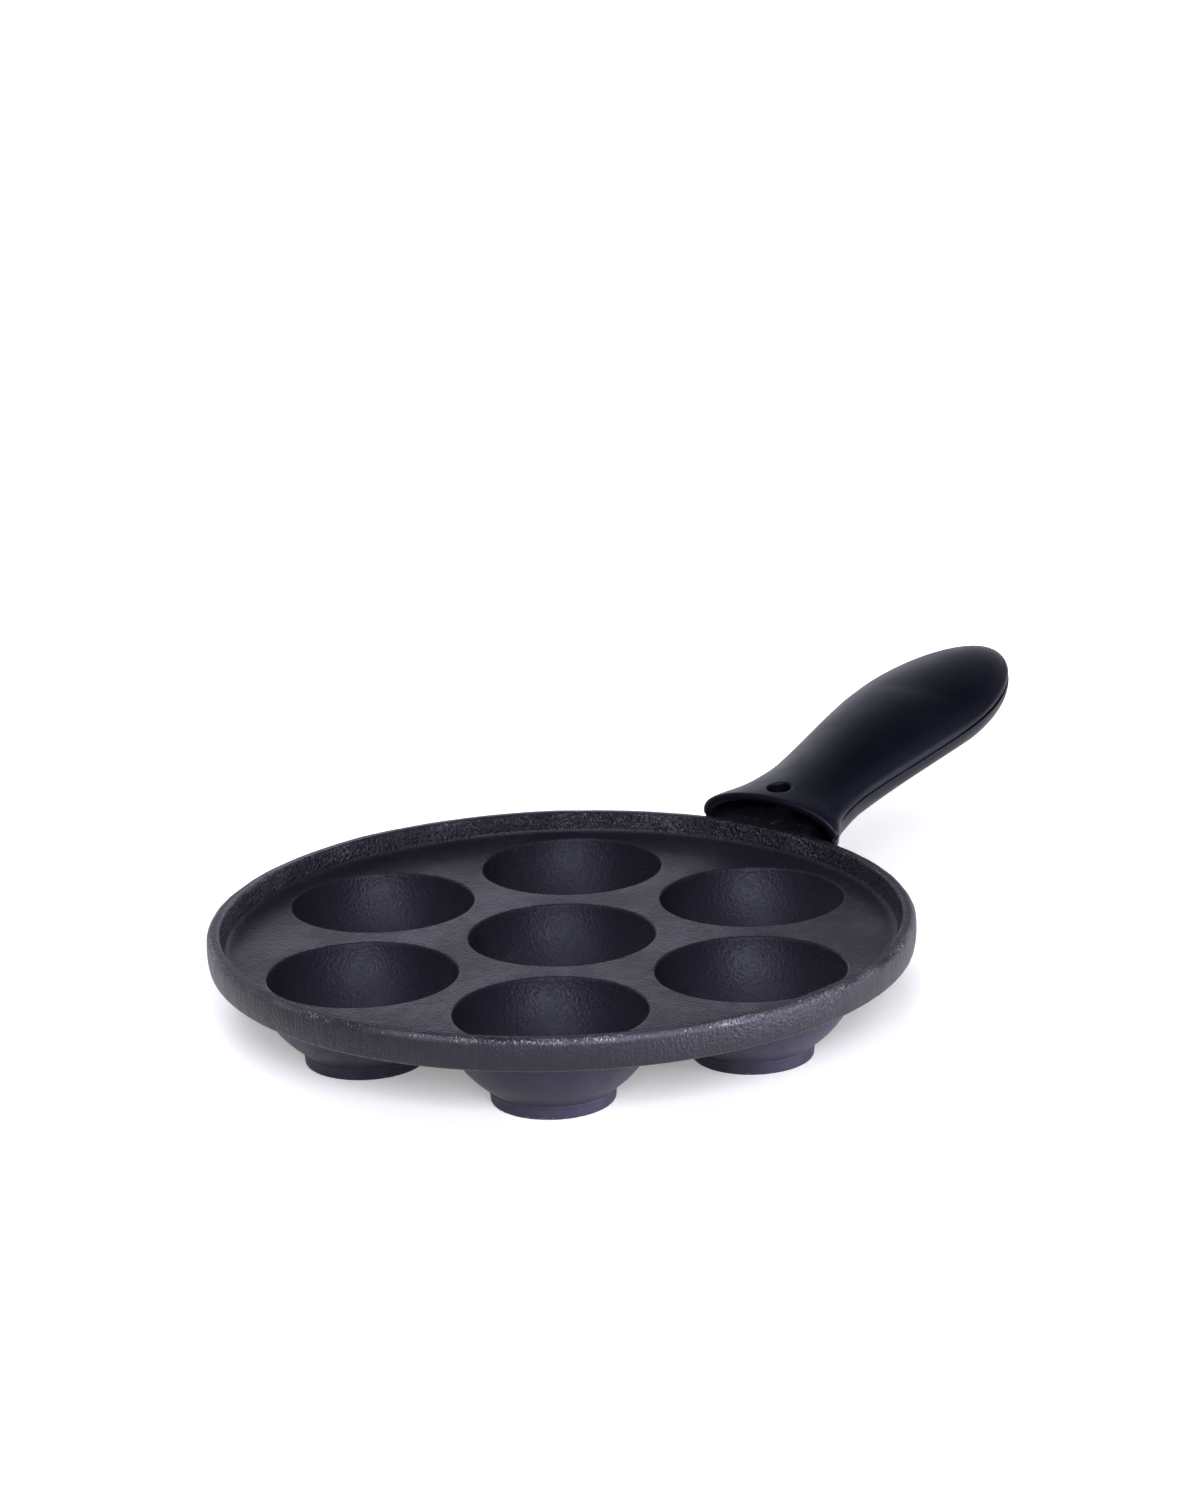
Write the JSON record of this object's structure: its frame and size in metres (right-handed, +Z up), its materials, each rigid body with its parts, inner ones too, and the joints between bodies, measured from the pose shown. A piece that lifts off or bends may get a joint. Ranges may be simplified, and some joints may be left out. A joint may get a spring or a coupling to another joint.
{
  "type": "aebleskiver pan",
  "caption": "Round cast-iron pan whose rimmed plate holds round wells on foot pads, with a pull-off silicone sleeve on its rising handle.",
  "frame": {"origin": "middle of the foot pad under the centre well, on the surface that the pan stands on", "axes": "+Z up, +X out along the handle (the handle itself climbs 11.5 degrees), +Y to the left of the handle seen from the pan"},
  "size_m": [0.371, 0.2288, 0.0674],
  "materials": {
    "seasoned_iron": "black seasoned cast iron with a fine sand-cast grain and a satin sheen",
    "silicone": "matt soft-touch black silicone"
  },
  "bodies": {
    "pan": {"well_plate": "seasoned_iron", "rim_wall": "seasoned_iron", "center_well": "seasoned_iron", "ring_well_1": "seasoned_iron", "ring_well_2": "seasoned_iron", "ring_well_3": "seasoned_iron", "ring_well_4": "seasoned_iron", "ring_well_5": "seasoned_iron", "ring_well_6": "seasoned_iron", "handle_tang": "seasoned_iron"},
    "sleeve": {"handle_sleeve": "silicone"}
  },
  "joints": [
    {"name": "sleeve_slide", "type": "slide", "parent": "pan", "child": "sleeve", "axis": [0.9801, 0, 0.1985], "range_m": [0, 0.145]}
  ]
}
